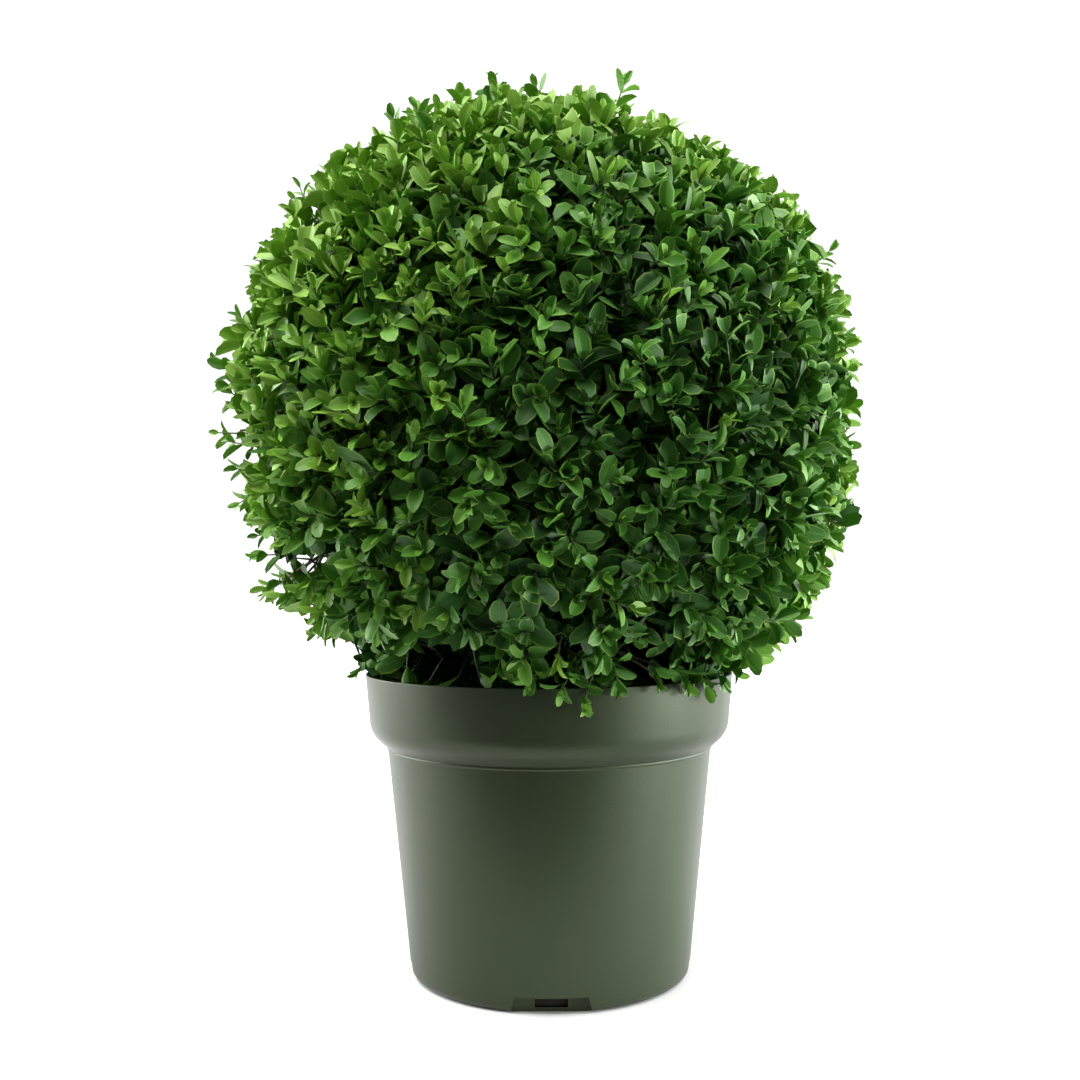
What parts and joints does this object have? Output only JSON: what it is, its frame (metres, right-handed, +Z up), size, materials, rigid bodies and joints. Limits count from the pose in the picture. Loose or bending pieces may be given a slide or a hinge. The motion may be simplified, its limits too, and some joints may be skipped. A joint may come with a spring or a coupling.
{
  "type": "potted box topiary ball",
  "caption": "Clipped evergreen box shrub, a leafy ball on a short forked stem, in a round tapered nursery pot with a collar rim.",
  "frame": {"origin": "middle of the pot's flat underside, where it stands", "axes": "+Z up along the pot's axis to the crown, -Y towards the side whose drain notch shows in front, +X to the right of it"},
  "size_m": [0.4123, 0.4013, 0.5638],
  "materials": {
    "pot": "satin sage green polypropylene",
    "compost": "dark moist peat and bark compost",
    "bark": "matt, finely fissured grey-brown bark",
    "leaves": "half-glossy small evergreen leaves"
  },
  "bodies": {
    "root": {"pot": "pot", "compost": "compost", "stem": "bark", "leader": "bark", "bough_1": "bark", "bough_2": "bark", "bough_3": "bark", "bough_4": "bark", "bough_5": "bark", "bough_6": "bark", "foliage_ball": "leaves"}
  },
  "joints": []
}
